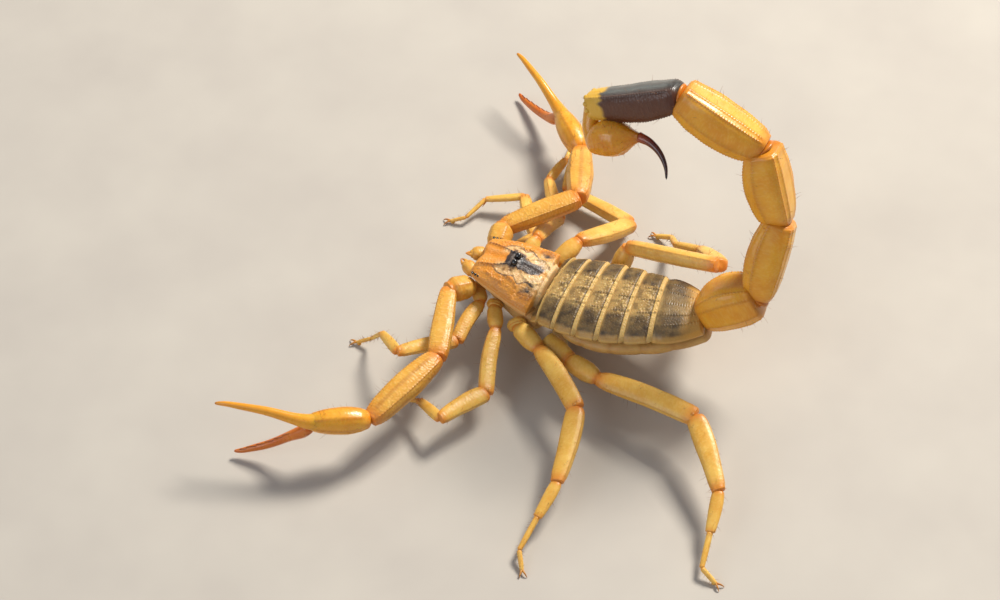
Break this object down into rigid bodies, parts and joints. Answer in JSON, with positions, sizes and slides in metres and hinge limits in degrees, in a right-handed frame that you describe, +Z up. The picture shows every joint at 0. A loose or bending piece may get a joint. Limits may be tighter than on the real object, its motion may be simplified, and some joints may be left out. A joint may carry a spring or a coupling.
{
  "type": "desert scorpion figure",
  "caption": "Life-size still model of a yellow desert scorpion standing with claws spread and its tail arched over its back, sting forward.",
  "frame": {"origin": "on the floor under the middle of the whole outline", "axes": "+Z up, head towards -Y, tail towards +Y, the scorpion's own left side towards +X"},
  "size_m": [0.0718, 0.0606, 0.0374],
  "materials": {
    "amber": "satin translucent amber cuticle",
    "straw": "satin pale ochre cuticle",
    "back_grey": "dull granular grey-brown plate with pale edges",
    "carapace": "dull granular orange-brown shield",
    "dark_tail": "satin near-black cuticle",
    "sting": "glossy dark red to black",
    "belly": "satin pale yellow cuticle",
    "eye": "wet glossy black",
    "finger": "satin orange-red cuticle",
    "comb": "satin cream cuticle"
  },
  "bodies": {
    "root": {"back_plate_1": "back_grey", "back_plate_2": "back_grey", "back_plate_3": "back_grey", "back_plate_4": "back_grey", "back_plate_5": "back_grey", "back_plate_6": "back_grey", "back_plate_7": "back_grey", "belly": "belly", "carapace": "carapace", "chelicera_left": "straw", "chelicera_right": "straw", "comb_left": "comb", "comb_right": "comb", "coxal_block": "belly", "eye_left": "eye", "eye_right": "eye", "leg_l1_femur": "straw", "leg_l1_patella": "straw", "leg_l1_tarsus": "straw", "leg_l2_femur": "straw", "leg_l2_patella": "straw", "leg_l2_tarsus": "straw", "leg_l3_femur": "straw", "leg_l3_patella": "straw", "leg_l3_tarsus": "straw", "leg_l4_femur": "straw", "leg_l4_patella": "straw", "leg_l4_tarsus": "straw", "leg_r1_femur": "straw", "leg_r1_patella": "straw", "leg_r1_tarsus": "straw", "leg_r2_femur": "straw", "leg_r2_patella": "straw", "leg_r2_tarsus": "straw", "leg_r3_femur": "straw", "leg_r3_patella": "straw", "leg_r3_tarsus": "straw", "leg_r4_femur": "straw", "leg_r4_patella": "straw", "leg_r4_tarsus": "straw", "palp_l_femur": "straw", "palp_l_finger": "finger", "palp_l_hand": "amber", "palp_l_patella": "straw", "palp_r_femur": "straw", "palp_r_finger": "finger", "palp_r_hand": "amber", "palp_r_patella": "straw", "sting": "sting", "tail_segment_1": "amber", "tail_segment_2": "amber", "tail_segment_3": "amber", "tail_segment_4": "amber", "tail_segment_5": "dark_tail", "venom_bulb": "amber"}
  },
  "joints": []
}
